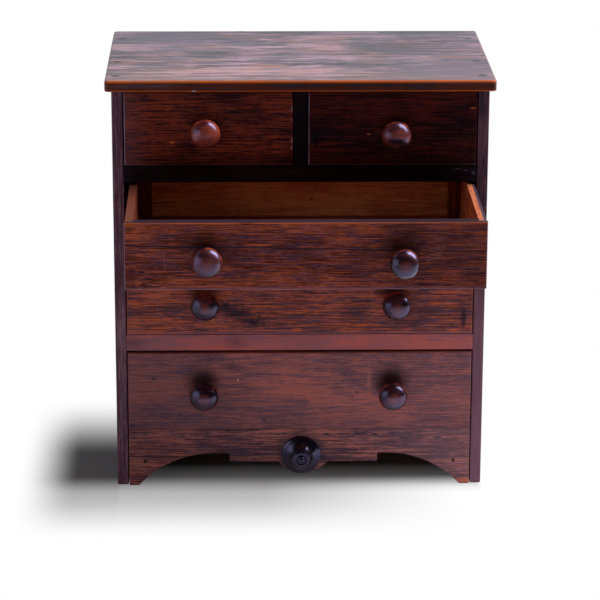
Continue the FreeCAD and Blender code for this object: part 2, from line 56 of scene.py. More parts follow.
lens = bpy.data.cameras.new("camera")
lens.sensor_width = SENSOR_MM
lens.lens = SENSOR_MM * FOCAL_PIXELS / IMAGE_PIXELS
lens.clip_end = 50
camera = bpy.data.objects.new("camera", lens)
bpy.context.scene.collection.objects.link(camera)
look = Vector((sin(YAW) * cos(PITCH), cos(YAW) * cos(PITCH), -sin(PITCH)))
level_right = look.cross(Vector((0, 0, 1))).normalized()
level_up = level_right.cross(look)
right = level_right * cos(ROLL) + level_up * sin(ROLL)
up = right.cross(look)
camera.matrix_world = Matrix.Translation(EYE) @ Matrix((right, up, -look)).transposed().to_4x4()
bpy.context.scene.camera = camera

# ---------------------------------------------------------------------------------------------
# The two side boards: mahogany planed and set on end, stained nearly black and waxed. The rails
# are let into them, and their feet are rounded off where they stand.
# ---------------------------------------------------------------------------------------------
MM = 0.001
# Each layer of a wood's pattern: its length along the grain and its width across, in millimetres,
# and how rough and how detailed its noise is. The fibres and pores are drawn three times as wide
# as real ones, so that they show.
WOOD_LAYERS = {
    "bands": (90, 9, 0.55, 4), "fibres": (36, 0.75, 0.6, 2), "flecks": (6, 0.9, 0.6, 2),
    "pores": (20, 0.9, 0.5, 1), "clouds": (75, 32, 0.65, 3), "painted_sheen": (16, 1.3, 0.7, 3),
}
GRAIN_TURNS = {"X": (0, 0, 0), "Y": (0, 0, -pi / 2), "Z": (0, pi / 2, 0)}
GRAIN_SWAY_MM = 1.8
SWAYS_PER_METRE = (9, 24, 24)
BOARD_SHIFT = (0.37, 0.73, 0.51)  # metres between the places that boards of the next seed are cut from
TONE_STOPS = (0.40, 0.50, 0.60)  # where a wood's three colours stand in its pattern
PORE_LIMITS = (0.64, 0.70)
PAINTED_SHEEN_LIMITS = (0.44, 0.70)
GLOSS_LIMITS = (-0.05, 0.07)  # how much smoother and rougher than its gloss a board is in places
RELIEF_MM = 0.12
RELIEF_STRENGTH = 0.5
WAX_TINT = "#ecdfff"
# The colour of the painted sheen: the blue-grey of the floor and backdrop that the wax mirrors, painted
# into the wood's colour.
PAINTED_SHEEN_TONE = "#404a74"


def colour(code):
    """The linear colour of an sRGB hex value."""
    parts = [int(code[start:start + 2], 16) / 255 for start in (1, 3, 5)]
    return [p / 12.92 if p <= 0.04045 else ((p + 0.055) / 1.055) ** 2.4 for p in parts] + [1]


def add_node(tree, kind, links=None, **settings):
    """Add a node. settings are its properties, and links gives its inputs a value or a socket."""
    node = tree.nodes.new(kind)
    for name, value in settings.items():
        setattr(node, name, value)
    for name, value in (links or {}).items():
        if isinstance(value, bpy.types.NodeSocket):
            tree.links.new(value, node.inputs[name])
        else:
            node.inputs[name].default_value = value
    return node


def grain_layers(tree, along, seed, spread):
    """The noise of each layer of a wood's pattern, drawn out along the grain, which sways."""
    grain = add_node(tree, "ShaderNodeMapping", {
        "Vector": add_node(tree, "ShaderNodeTexCoord").outputs["Object"],
        "Rotation": GRAIN_TURNS[along],
        "Location": [seed * shift for shift in BOARD_SHIFT]}).outputs[0]
    slow = add_node(tree, "ShaderNodeVectorMath", {0: grain, 1: SWAYS_PER_METRE}, operation="MULTIPLY")
    sway = add_node(tree, "ShaderNodeTexNoise", {"Vector": slow.outputs[0], "Scale": 1, "Detail": 2})
    grain = add_node(tree, "ShaderNodeVectorMath", {
        0: sway.outputs["Color"], 1: (0, GRAIN_SWAY_MM * MM, GRAIN_SWAY_MM * MM), 2: grain},
        operation="MULTIPLY_ADD").outputs[0]
    layers = {}
    for part, (length, width, rough, detail) in WOOD_LAYERS.items():
        if part != "clouds":
            length *= spread ** 0.6
            width *= spread
        scale = (1 / (length * MM), 1 / (width * MM), 1 / (width * MM))
        drawn_out = add_node(tree, "ShaderNodeVectorMath", {0: grain, 1: scale}, operation="MULTIPLY")
        layers[part] = add_node(tree, "ShaderNodeTexNoise", {
            "Vector": drawn_out.outputs[0], "Scale": 1, "Detail": detail,
            "Roughness": rough}).outputs["Fac"]
    return layers


def solid_wood(name, along, seed, tones, gloss, shade=0.0, clouding=0.5, porous=0.6, shine=0.3,
               fine=0.7, painted_sheen=0.2, spread=1.0):
    """A wood that runs right through a piece: growth bands, fibres, pores and uneven stain.

    along is the axis of its grain, tones are three colours from the darkest streaks to the
    lightest, shade shifts it all darker, clouding is how unevenly the stain took, shine is how
    much the wax on it mirrors, fine is the fibres' share in the streaks, and painted_sheen is how
    much of a painted blue-grey sheen, standing in for the floor and backdrop that the wax mirrors,
    is laid into its colour. spread is how many times wider the streaks are drawn than on the other
    pieces, for a board that is seen at a slant.
    """
    material = bpy.data.materials.new(name)
    material.use_nodes = True
    tree = material.node_tree
    shader = tree.nodes["Principled BSDF"]
    shader.inputs["Specular IOR Level"].default_value = shine
    shader.inputs["Specular Tint"].default_value = colour(WAX_TINT)
    layers = grain_layers(tree, along, seed, spread)
    tone = add_node(tree, "ShaderNodeMix", {0: fine, 2: layers["bands"], 3: layers["fibres"]}).outputs[0]
    for part, share, level in (("clouds", clouding, -clouding / 2 - shade),
                               ("flecks", fine / 2, -fine / 4)):
        shift = add_node(tree, "ShaderNodeMath", {0: layers[part], 1: share, 2: level},
                         operation="MULTIPLY_ADD").outputs[0]
        tone = add_node(tree, "ShaderNodeMath", {0: tone, 1: shift}, operation="ADD").outputs[0]
    ramp = add_node(tree, "ShaderNodeValToRGB", {"Fac": tone})
    stops = ramp.color_ramp.elements
    stops.new(TONE_STOPS[1])
    for stop, position, code in zip(stops, TONE_STOPS, tones):
        stop.position, stop.color = position, colour(code)
    crowded = add_node(tree, "ShaderNodeMath", {0: layers["clouds"], 1: 0.5, 2: layers["pores"]},
                       operation="MULTIPLY_ADD").outputs[0]
    open_pores = add_node(tree, "ShaderNodeMapRange", {
        "Value": crowded, "From Min": PORE_LIMITS[0], "From Max": PORE_LIMITS[1],
        "To Min": porous, "To Max": 0}).outputs[0]
    grained = add_node(tree, "ShaderNodeMix", {
        "Factor": open_pores, 6: ramp.outputs[0], 7: colour(tones[0])}, data_type="RGBA")
    # Painted sheen: a blue-grey laid into the colour in patches, standing in for the floor and backdrop
    # mirrored in the wax.
    painted_sheen_amount = add_node(tree, "ShaderNodeMapRange", {
        "Value": layers["painted_sheen"], "From Min": PAINTED_SHEEN_LIMITS[0], "From Max": PAINTED_SHEEN_LIMITS[1],
        "To Min": 0, "To Max": painted_sheen})
    # The grained colour with the painted sheen laid over it.
    waxed = add_node(tree, "ShaderNodeMix", {
        "Factor": painted_sheen_amount.outputs[0], 6: grained.outputs[2], 7: colour(PAINTED_SHEEN_TONE)}, data_type="RGBA")
    tree.links.new(waxed.outputs[2], shader.inputs["Base Color"])
    dull = add_node(tree, "ShaderNodeMapRange", {
        "Value": layers["clouds"], "From Min": 0.3, "From Max": 0.7,
        "To Min": gloss + GLOSS_LIMITS[0], "To Max": gloss + GLOSS_LIMITS[1]})
    tree.links.new(dull.outputs[0], shader.inputs["Roughness"])
    relief = add_node(tree, "ShaderNodeMath", {0: layers["fibres"], 1: open_pores},
                      operation="SUBTRACT").outputs[0]
    bump = add_node(tree, "ShaderNodeBump", {
        "Height": relief, "Strength": RELIEF_STRENGTH, "Distance": RELIEF_MM * MM})
    tree.links.new(bump.outputs[0], shader.inputs["Normal"])
    return material


def paint_over(material, mask, code, strength=1.0):
    """Lay a colour over a material's own, where the mask is 1, as thickly as strength says."""
    tree = material.node_tree
    base = tree.nodes["Principled BSDF"].inputs["Base Color"]
    if strength < 1:
        mask = add_node(tree, "ShaderNodeMath", {0: mask, 1: strength}, operation="MULTIPLY").outputs[0]
    over = add_node(tree, "ShaderNodeMix", {
        "Factor": mask, 6: base.links[0].from_socket, 7: colour(code)}, data_type="RGBA")
    tree.links.new(over.outputs[2], base)


def facing(material, axis, low, high):
    """A mask of the surface that looks along an axis: 0 where that share of its normal is low."""
    tree = material.node_tree
    normal = add_node(tree, "ShaderNodeNewGeometry").outputs["Normal"]
    share = add_node(tree, "ShaderNodeSeparateXYZ", {0: normal}).outputs[axis]
    return add_node(tree, "ShaderNodeMapRange", {
        "Value": share, "From Min": low, "From Max": high}).outputs[0]


def strip(material, axis, solid, clear):
    """A mask that is 1 on one side of a line across an axis and 0 at clear, in millimetres."""
    tree = material.node_tree
    place = add_node(tree, "ShaderNodeTexCoord").outputs["Object"]
    along = add_node(tree, "ShaderNodeSeparateXYZ", {0: place}).outputs[axis]
    return add_node(tree, "ShaderNodeMapRange", {
        "Value": along, "From Min": clear * MM, "From Max": solid * MM}).outputs[0]


def finish_in(material, *names):
    """Give CAD pieces their finish."""
    for name in names:
        nodes[name].data.materials.clear()
        nodes[name].data.materials.append(material)


# Mahogany under dark stain and wax. The front edges wore to a dull red-brown. The right one is painted
# paler lilac-brown low down, below the open drawer: partly wear, partly painted light and sheen from the
# bright floor. The broad outer faces kept their stain.
SIDE_TONES = {
    "side_left": ("#3a1a1e", "#583640", "#745058"),
    "side_right": ("#200a0e", "#3e2024", "#5e3c42"),
}
OUTWARD = {"side_left": -1, "side_right": 1}
for seed, (side, tones) in enumerate(SIDE_TONES.items(), 1):
    side_wood = solid_wood(f"stained_mahogany_{side}", "Z", seed, tones, gloss=0.36, clouding=0.4,
                           painted_sheen=0.12)
    if side == "side_right":
        # Painted light, partly wear: the right front edge paler and lilac below the open drawer.
        paint_over(side_wood, strip(side_wood, "Z", 140, 260), "#704a56", 0.6)
    outer_face = facing(side_wood, "X", OUTWARD[side] * 0.5, OUTWARD[side] * 0.9)
    paint_over(side_wood, outer_face, "#2a1311", 0.72)
    finish_in(side_wood, side)

# ---------------------------------------------------------------------------------------------
# The top board: one mahogany board nailed down on the sides. Its wax is dull and scratched, its
# upper arris is rubbed to bare orange wood, and dark filler hides the six nails.
# ---------------------------------------------------------------------------------------------
def box_mm(name):
    """The low and the high corner of a CAD piece's box, in millimetres."""
    return [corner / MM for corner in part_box(name)]


def overlap(material, first, *others):
    """A mask of where all the masks lie."""
    for other in others:
        first = add_node(material.node_tree, "ShaderNodeMath", {0: first, 1: other},
                         operation="MULTIPLY").outputs[0]
    return first


EDGE_PATCHES_PER_METRE = 45
FRAYS_PER_METRE = 260


def edge_wear_and_sheen(material, board, edge, reach, code):
    """Paint a board's rounded edge another colour, broken up in patches: used for wear rubbed by hands, and
    for painted sheen on edges that catch the light.

    board is the axis that its face looks along, edge is the axis and the sign of the side that
    the rounded edge turns to, and reach is how far over the edge the colour goes.
    """
    tree = material.node_tree
    normal = add_node(tree, "ShaderNodeSeparateXYZ", {
        0: add_node(tree, "ShaderNodeNewGeometry").outputs["Normal"]}).outputs[board]
    square = overlap(material, normal, normal)
    rest = add_node(tree, "ShaderNodeMath", {0: 1, 1: square}, operation="SUBTRACT").outputs[0]
    axis, sign = edge
    turned = overlap(material, square, rest, facing(material, axis, 0.05 * sign, 0.3 * sign))
    place = add_node(tree, "ShaderNodeTexCoord").outputs["Object"]
    patch = add_node(tree, "ShaderNodeTexNoise", {
        "Vector": place, "Scale": EDGE_PATCHES_PER_METRE, "Detail": 4, "Roughness": 0.7}).outputs["Fac"]
    patchy = add_node(tree, "ShaderNodeMapRange", {
        "Value": patch, "From Min": 0.36, "From Max": 0.55, "To Min": 1.5 * reach, "To Max": 5 * reach})
    edge_paint = add_node(tree, "ShaderNodeMath", {0: turned, 1: patchy.outputs[0]}, operation="MULTIPLY",
                    use_clamp=True)
    paint_over(material, edge_paint.outputs[0], code)


def patches(material, size, low, high, seed=0.0):
    """A mask of scattered patches, as long along X, Y and Z as size says, in millimetres."""
    tree = material.node_tree
    place = add_node(tree, "ShaderNodeMapping", {
        "Vector": add_node(tree, "ShaderNodeTexCoord").outputs["Object"],
        "Scale": [1 / (length * MM) for length in size],
        "Location": (seed, 1.7 * seed, 0.6 * seed)}).outputs[0]
    noise = add_node(tree, "ShaderNodeTexNoise", {
        "Vector": place, "Scale": 1, "Detail": 3, "Roughness": 0.6}).outputs["Fac"]
    return add_node(tree, "ShaderNodeMapRange", {
        "Value": noise, "From Min": low, "From Max": high}).outputs[0]


def spots(material, ragged, core, places, across="XZ"):
    """A mask of soft oval marks, each with its middle and its half sizes in millimetres. ragged is
    how far their outline wanders, and core is how much of each is solid."""
    tree = material.node_tree
    place = add_node(tree, "ShaderNodeTexCoord").outputs["Object"]
    fray = add_node(tree, "ShaderNodeTexNoise", {
        "Vector": place, "Scale": FRAYS_PER_METRE, "Detail": 3}).outputs["Color"]
    frayed = add_node(tree, "ShaderNodeVectorMath", {
        0: fray, 1: [ragged * 2 * MM] * 3, 2: place}, operation="MULTIPLY_ADD").outputs[0]
    mask = None
    for first, second, half_first, half_second in places:
        middle, spread = [0, 0, 0], [0, 0, 0]
        for axis, at, half in zip(across, (first, second), (half_first, half_second)):
            middle["XYZ".index(axis)] = (at + ragged) * MM
            spread["XYZ".index(axis)] = 1 / (half * MM)
        apart = add_node(tree, "ShaderNodeVectorMath", {0: frayed, 1: middle}, operation="SUBTRACT")
        scaled = add_node(tree, "ShaderNodeVectorMath", {0: apart.outputs[0], 1: spread},
                          operation="MULTIPLY")
        away = add_node(tree, "ShaderNodeVectorMath", {0: scaled.outputs[0]}, operation="LENGTH")
        spot = add_node(tree, "ShaderNodeMapRange", {
            "Value": away.outputs["Value"], "From Min": core, "From Max": 1.1,
            "To Min": 1, "To Max": 0}).outputs[0]
        mask = spot if mask is None else add_node(
            tree, "ShaderNodeMath", {0: mask, 1: spot}, operation="MAXIMUM").outputs[0]
    return mask


def mark(material, code, strength, ragged, core, places, across="XZ"):
    """Paint soft oval marks of one colour."""
    paint_over(material, spots(material, ragged, core, places, across), code, strength)


# Mahogany planed along the grain, stained and waxed: dark streaks between mauve ones. The mauve is partly
# painted sheen, the white backdrop mirrored in the wax at a slant. The streaks are drawn five times as
# wide as on the fronts, because the top is seen at a slant.
top_low, top_high = box_mm("top_board")
top_wood = solid_wood("waxed_mahogany_top", "X", 4.1, ("#120f1a", "#5a4d56", "#a4848a"), gloss=0.34,
                      clouding=0.5, shine=0.1, painted_sheen=0.35, fine=0.55, spread=5)
worn_through = overlap(top_wood, patches(top_wood, (55, 5, 40), 0.5, 0.6, 3.0),
                       patches(top_wood, (90, 45, 60), 0.4, 0.6, 5.0))
paint_over(top_wood, worn_through, "#a06848", 0.6)
paint_over(top_wood, patches(top_wood, (60, 5, 40), 0.42, 0.34, 8.0), "#1c1828", 0.8)

# Painted sheen: two blue-grey clouds where the top mirrors the backdrop. The top is also painted darker
# at the right end and along the back, and a little paler along the front.
TOP_PAINTED_SHEEN = [(-110, 130, 80, 50), (135, 15, 60, 60)]
mark(top_wood, "#4c4c62", 0.55, 12, 0.2, TOP_PAINTED_SHEEN, across="XY")
paint_over(top_wood, strip(top_wood, "X", 120, -40), "#1e2030", 0.45)
paint_over(top_wood, strip(top_wood, "Y", 170, 120), "#1e2030", 0.3)
paint_over(top_wood, strip(top_wood, "Y", -30, 30), "#b48c84", 0.2)

# The front face kept its stain but for brown patches, and its two edges are rubbed.
top_face = facing(top_wood, "Y", -0.3, -0.9)
paint_over(top_wood, top_face, "#1c1318", 0.8)
face_patches = overlap(top_wood, top_face, patches(top_wood, (38, 20, 4), 0.42, 0.56, 2.0))
paint_over(top_wood, face_patches, "#54220c", 0.8)
FACE_EDGES = ((top_high.z - 1.6, top_high.z - 2.8), (top_low.z + 0.9, top_low.z + 1.6))
for solid, clear in FACE_EDGES:
    face_edge = overlap(top_wood, top_face, strip(top_wood, "Z", solid, clear))
    paint_over(top_wood, face_edge, "#a04a18", 0.85)
edge_wear_and_sheen(top_wood, "Z", ("Y", -1), 1.0, "#b8581c")
edge_wear_and_sheen(top_wood, "Z", ("X", 1), 0.3, "#8a4a2c")

NAILS_ACROSS = (-157, 155)
NAILS_BACK = (19.5, 76, 173)  # behind the front edge
TOP_MARKS = {  # colour, strength, raggedness, solid share, middles and half sizes, and axes
    "filled nail holes": ("#17151c", 1, 1.2, 0.6, [
        (x, top_low.y + back, 4.5, 4.0) for x in NAILS_ACROSS for back in NAILS_BACK], "XY"),
    "blot at the back edge": ("#17151c", 0.9, 0.6, 0.6, [(-50, 172, 6, 2)], "XY"),
    "chip in the front face": ("#b4a4a4", 1, 0.3, 0.6, [(-90, 355.6, 2.4, 0.7)], "XZ"),
    "orange nick": ("#a84a1c", 1, 0.3, 0.6, [(-91.8, top_low.y + 37, 0.8, 3.0)], "XY"),
}
for row in TOP_MARKS.values():
    mark(top_wood, *row)
finish_in(top_wood, "top_board")

# ---------------------------------------------------------------------------------------------
# The divider between the short drawers and the rails under them: the same stained mahogany,
# let into the sides. The lowest rail was renewed in a plainer, redder wood.
# ---------------------------------------------------------------------------------------------
# Mahogany painted so dark that it looks black: partly its thick stain, partly painted shade, where the
# open drawer keeps the light off these pieces. It has almost no shine.
DARK_TONES = ("#040203", "#0c0506", "#1a0c0e")
RAIL_SCRATCHES = [(134, 287, 3.5, 0.8), (141, 285.4, 3, 0.9), (147.5, 283.5, 2, 2.2)]
dark_rail = solid_wood("stained_mahogany_rail", "X", 5.2, DARK_TONES, gloss=0.4, shine=0.08,
                       painted_sheen=0.01)
mark(dark_rail, "#48505c", 0.4, 0.8, 0.6, RAIL_SCRATCHES)
finish_in(dark_rail, "rail_upper", "rail_middle")
divider_wood = solid_wood("stained_mahogany_divider", "Z", 6.4, DARK_TONES, gloss=0.4, shine=0.08,
                          painted_sheen=0.01)
finish_in(divider_wood, "centre_divider")
# Beech under red stain: even, close-grained and without open pores to the eye.
# Painted shadows: two dark patches on the red rail.
RAIL_PAINTED_SHADOWS = [(-55, 132, 14, 9), (-148, 132, 18, 9)]
red_rail = solid_wood("red_stained_beech", "X", 7.7, ("#7c4a4e", "#924c47", "#a6503e"), gloss=0.34,
                      clouding=0.7, porous=0.15)
mark(red_rail, "#3c1c22", 0.45, 3, 0.1, RAIL_PAINTED_SHADOWS)
finish_in(red_rail, "rail_lower")

# ---------------------------------------------------------------------------------------------
# The apron: a mahogany board sawn to two arches and a stepped drop, nailed across the sides'
# front with glue blocks behind its feet. It has cracked at both feet.
# ---------------------------------------------------------------------------------------------
WOBBLES_PER_METRE = 60


def press_in(material, mask, depth):
    """Lower a material's surface by a depth in millimetres, where the mask is 1."""
    tree = material.node_tree
    height = tree.nodes["Bump"].inputs["Height"]
    lowered = add_node(tree, "ShaderNodeMath", {
        0: mask, 1: -depth / RELIEF_MM, 2: height.links[0].from_socket}, operation="MULTIPLY_ADD")
    tree.links.new(lowered.outputs[0], height)


def crack(material, start, end, width, wander=0.5):
    """A mask of one thin line between two places, x and z, wandering a little. All in mm."""
    tree = material.node_tree
    run = hypot(end[0] - start[0], end[1] - start[1])
    lead, slope = (end[0] - start[0]) / run, (end[1] - start[1]) / run
    place = add_node(tree, "ShaderNodeTexCoord").outputs["Object"]
    from_start = add_node(tree, "ShaderNodeVectorMath", {
        0: place, 1: (start[0] * MM, 0, start[1] * MM)}, operation="SUBTRACT").outputs[0]
    gone, aside = (add_node(tree, "ShaderNodeVectorMath", {0: from_start, 1: way},
                            operation="DOT_PRODUCT").outputs["Value"]
                   for way in ((lead, 0, slope), (-slope, 0, lead)))
    wobble = add_node(tree, "ShaderNodeTexNoise", {
        "Vector": place, "Scale": WOBBLES_PER_METRE, "Detail": 2}).outputs["Fac"]
    shifted = add_node(tree, "ShaderNodeMath", {0: wobble, 1: 2 * wander * MM, 2: aside},
                       operation="MULTIPLY_ADD").outputs[0]
    masks = []
    half_run = run * MM / 2
    for measure, middle, near, far in ((shifted, wander * MM, width * MM / 4, width * MM),
                                       (gone, half_run, half_run - 2 * MM, half_run)):
        off = add_node(tree, "ShaderNodeMath", {0: measure, 1: middle}, operation="SUBTRACT").outputs[0]
        away = add_node(tree, "ShaderNodeMath", {0: off}, operation="ABSOLUTE").outputs[0]
        masks.append(add_node(tree, "ShaderNodeMapRange", {
            "Value": away, "From Min": near, "From Max": far, "To Min": 1, "To Max": 0}).outputs[0])
    return overlap(material, *masks)


# Mahogany planed, sawn to shape and waxed: red-brown in fine fibres, and a little blue with painted sheen.
apron_wood = solid_wood("waxed_mahogany_apron", "X", 8.3, ("#301515", "#683a37", "#9c5740"),
                        gloss=0.33, fine=0.9, painted_sheen=0.25)
# Painted sheen: the lower arris is painted lilac, where it mirrors the bright floor.
edge_wear_and_sheen(apron_wood, "Y", ("Z", -1), 0.5, "#6c4450")
low, high = box_mm("apron_boss")
# Painted shadow: a dark halo on the apron round the top of the boss.
PAINTED_SHADOW_ROUND_BOSS = ((low.x + high.x) / 2 - 1, high.z - 13, 24, 19)
mark(apron_wood, "#120405", 0.85, 1.2, 0.5, [PAINTED_SHADOW_ROUND_BOSS])
FOOT_CRACKS = (((-158, 27.5), (-104, 26.2)), ((138, 7.4), (151, 7.2)))
for start, end in FOOT_CRACKS:
    split = crack(apron_wood, start, end, 0.7)
    paint_over(apron_wood, split, "#0c0a10")
    press_in(apron_wood, split, 0.5)
APRON_MARKS = {  # colour, strength, raggedness, solid share, and each one's middle and half sizes
    "bare toe": ("#a4552c", 1, 0.6, 0.6, [(150, 3, 14, 3.5)]),
    "dashes under the deep drawer": ("#16131f", 1, 0.5, 0.6, [
        (24, 47.2, 4, 0.9), (38, 47.4, 3, 0.8), (52, 47.3, 5, 0.9), (66, 47, 4, 0.9),
        (82, 47.6, 5, 1.1), (95, 47.2, 4, 0.9), (121, 43.5, 4.5, 1.0), (129, 42.2, 3.5, 1.2)]),
    # painted shade: dark patches over the apron's left half
    "painted_shade": ("#241820", 0.35, 5, 0.1, [(-125, 38, 30, 16), (-60, 30, 40, 14)]),
}
for row in APRON_MARKS.values():
    mark(apron_wood, *row)
# Painted light: the right end is painted paler and pinker, where the lamp on the right lights the apron.
paint_over(apron_wood, strip(apron_wood, "X", 130, 50), "#b07c78", 0.15)
finish_in(apron_wood, "apron")

# ---------------------------------------------------------------------------------------------
# The boss in the middle of the apron: a bell-shaped disc turned in ebonised beech, with a ring
# and a bead at its middle, glued into the apron by a spigot.
# ---------------------------------------------------------------------------------------------
POLISH_TINT = "#cdc6ff"
POLISHED_RELIEF = 0.05
ARC_STEP = 6
TURNING_SEGMENTS = 72
CREASE_DEGREES = 30


def polish(material):
    """Smooth a turned piece's wood, and let it mirror the studio with a cold tint."""
    wood_nodes = material.node_tree.nodes
    wood_nodes["Bump"].inputs["Strength"].default_value = POLISHED_RELIEF
    wood_nodes["Principled BSDF"].inputs["Specular Tint"].default_value = colour(POLISH_TINT)


def turned_outline(stops):
    """The outline that a turner cuts, in metres: each stop is a radius, a reach and the degrees
    that the arc towards it turns, outwards or, below zero, hollow."""
    outline = [complex(*stops[0][:2])]
    for radius, reach, degrees in stops[1:]:
        start, turn = outline[-1], radians(degrees)
        chord = complex(radius, reach) - start
        steps = max(1, round(abs(degrees) / ARC_STEP))
        for step in range(1, steps + 1):
            share = step / steps
            stretch = sin(share * turn / 2) / sin(turn / 2) if turn else share
            outline.append(start + chord * stretch * cmath.exp(-1j * (1 - share) * turn / 2))
    return [(point.real * MM, 0, point.imag * MM) for point in outline]


def turning_tree():
    """Turns an outline of radius and height about its axis, once at each seat, facing the front."""
    tree = bpy.data.node_groups.new("turning", "GeometryNodeTree")
    for label, kind in (("Outline", "NodeSocketGeometry"), ("Seats", "NodeSocketObject"),
                        ("Segments", "NodeSocketInt"), ("Finish", "NodeSocketMaterial")):
        tree.interface.new_socket(label, in_out="INPUT", socket_type=kind)
    tree.interface.new_socket("Turned", in_out="OUTPUT", socket_type="NodeSocketGeometry")
    given = add_node(tree, "NodeGroupInput").outputs
    columns = add_node(tree, "ShaderNodeMath", {0: given["Segments"], 1: 1}, operation="ADD").outputs[0]
    rows = add_node(tree, "GeometryNodeAttributeDomainSize", {
        "Geometry": given["Outline"]}).outputs["Point Count"]
    grid = add_node(tree, "GeometryNodeMeshGrid", {"Vertices X": rows, "Vertices Y": columns})
    index = add_node(tree, "GeometryNodeInputIndex").outputs[0]
    share = add_node(tree, "ShaderNodeMath", {0: index, 1: columns}, operation="DIVIDE").outputs[0]
    row = add_node(tree, "ShaderNodeMath", {0: share}, operation="FLOOR").outputs[0]
    column = add_node(tree, "ShaderNodeMath", {0: index, 1: columns}, operation="MODULO").outputs[0]
    place = add_node(tree, "GeometryNodeInputPosition").outputs[0]
    on_outline = add_node(tree, "GeometryNodeSampleIndex", {
        "Geometry": given["Outline"], "Value": place, "Index": row}, data_type="FLOAT_VECTOR").outputs[0]
    stop = add_node(tree, "ShaderNodeSeparateXYZ", {0: on_outline}).outputs
    part = add_node(tree, "ShaderNodeMath", {0: column, 1: given["Segments"]},
                    operation="DIVIDE").outputs[0]
    angle = add_node(tree, "ShaderNodeMath", {0: part, 1: 2 * pi}, operation="MULTIPLY").outputs[0]
    across = {}
    for axis, wave in (("X", "COSINE"), ("Y", "SINE")):
        turned = add_node(tree, "ShaderNodeMath", {0: angle}, operation=wave).outputs[0]
        across[axis] = add_node(tree, "ShaderNodeMath", {0: turned, 1: stop["X"]},
                                operation="MULTIPLY").outputs[0]
    round_place = add_node(tree, "ShaderNodeCombineXYZ", {**across, "Z": stop["Z"]}).outputs[0]
    shell = add_node(tree, "GeometryNodeSetPosition", {
        "Geometry": grid.outputs[0], "Position": round_place})
    closed = add_node(tree, "GeometryNodeMergeByDistance", {"Geometry": shell.outputs[0],
                                                            "Distance": 1e-6})
    seats = add_node(tree, "GeometryNodeObjectInfo", {"Object": given["Seats"]}).outputs["Geometry"]
    each = add_node(tree, "GeometryNodeInstanceOnPoints", {
        "Points": seats, "Instance": closed.outputs[0], "Rotation": (pi / 2, 0, 0)})
    solid = add_node(tree, "GeometryNodeRealizeInstances", {"Geometry": each.outputs[0]})
    corner = add_node(tree, "GeometryNodeInputMeshEdgeAngle").outputs["Unsigned Angle"]
    gentle = add_node(tree, "FunctionNodeCompare", {0: corner, 1: radians(CREASE_DEGREES)},
                      operation="LESS_THAN").outputs[0]
    faces = add_node(tree, "GeometryNodeSetShadeSmooth", {"Geometry": solid.outputs[0]}, domain="FACE")
    smooth = add_node(tree, "GeometryNodeSetShadeSmooth", {
        "Geometry": faces.outputs[0], "Shade Smooth": gentle}, domain="EDGE")
    dressed = add_node(tree, "GeometryNodeSetMaterial", {
        "Geometry": smooth.outputs[0], "Material": given["Finish"]})
    add_node(tree, "NodeGroupOutput", {0: dressed.outputs[0]})
    return tree


turning = turning_tree()


def turned_piece(name, outline, seats, finish):
    """Turned work as one plain mesh: the same outline at each seat."""
    wire = bpy.data.meshes.new(f"{name}_outline")
    wire.from_pydata(outline, [(i, i + 1) for i in range(len(outline) - 1)], [])
    stand = bpy.data.meshes.new(f"{name}_seats")
    stand.from_pydata(seats, [], [])
    work, holder = (bpy.data.objects.new(mesh.name, mesh) for mesh in (wire, stand))
    for thing in (work, holder):
        bpy.context.scene.collection.objects.link(thing)
    modifier = work.modifiers.new("turning", "NODES")
    modifier.node_group = turning
    inputs = (item for item in turning.interface.items_tree if item.in_out == "INPUT")
    socket = {item.name: item.identifier for item in inputs}
    modifier[socket["Seats"]] = holder
    modifier[socket["Segments"]] = TURNING_SEGMENTS
    modifier[socket["Finish"]] = finish
    bpy.context.view_layer.update()
    ready = work.evaluated_get(bpy.context.evaluated_depsgraph_get())
    piece = bpy.data.objects.new(name, bpy.data.meshes.new_from_object(ready))
    for thing in (work, holder):
        bpy.data.objects.remove(thing)
    bpy.context.scene.collection.objects.link(piece)
    return piece


# Close-grained beech stained black and polished, so that it mirrors the lamp in a small light.
black_wood = solid_wood("ebonised_beech", "X", 9.9, ("#060508", "#0a080c", "#0e0c10"), gloss=0.2,
                        porous=0.2, shine=0.8, painted_sheen=0.02)
polish(black_wood)
BOSS_SPIGOT = 7.5
low, high = box_mm("apron_boss")
boss_radius = (high.x - low.x) / 2
boss_reach = high.y - low.y - BOSS_SPIGOT
boss_outline = turned_outline([
    (0, -BOSS_SPIGOT, 0), (5.0, -BOSS_SPIGOT, 0), (5.0, 0, 0), (boss_radius, 0, 0),
    (boss_radius, 1.8, 0), (boss_radius - 0.8, 2.6, 0), (7.6, 11.0, -47.6), (6.7, 11.0, 0),
    (6.7, 13.1, 0), (6.2, 13.6, 0), (5.0, 13.6, 0), (4.5, 12.2, 0), (3.6, 12.2, 0),
    (0, boss_reach, 90)])
boss_seat = Vector(((low.x + high.x) / 2, high.y - BOSS_SPIGOT, (low.z + high.z) / 2)) * MM
boss = turned_piece("turned_apron_boss", boss_outline, [boss_seat], black_wood)
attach(boss, "carcass")
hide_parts("apron_boss")

# ---------------------------------------------------------------------------------------------
# The hidden carcass: pine runners, a bottom board, the guide behind the divider and the glue
# blocks in the feet, sawn and planed and left bare.
# ---------------------------------------------------------------------------------------------
# Pine straight from the saw and the plane: plain brown with age, matt, and never stained.
PINE_TONES = ("#4a2812", "#7c4a22", "#a87038")
bare_pine = solid_wood("bare_pine_frame", "X", 11.0, PINE_TONES, gloss=0.6, porous=0.2, painted_sheen=0.02)
deep_pine = solid_wood("bare_pine_runners", "Y", 12.0, PINE_TONES, gloss=0.6, porous=0.2, painted_sheen=0.02)
finish_in(bare_pine, "bottom_board", "centre_guide", "foot_glue_blocks")
finish_in(deep_pine, *(name for name in nodes if name.startswith("runner_")))

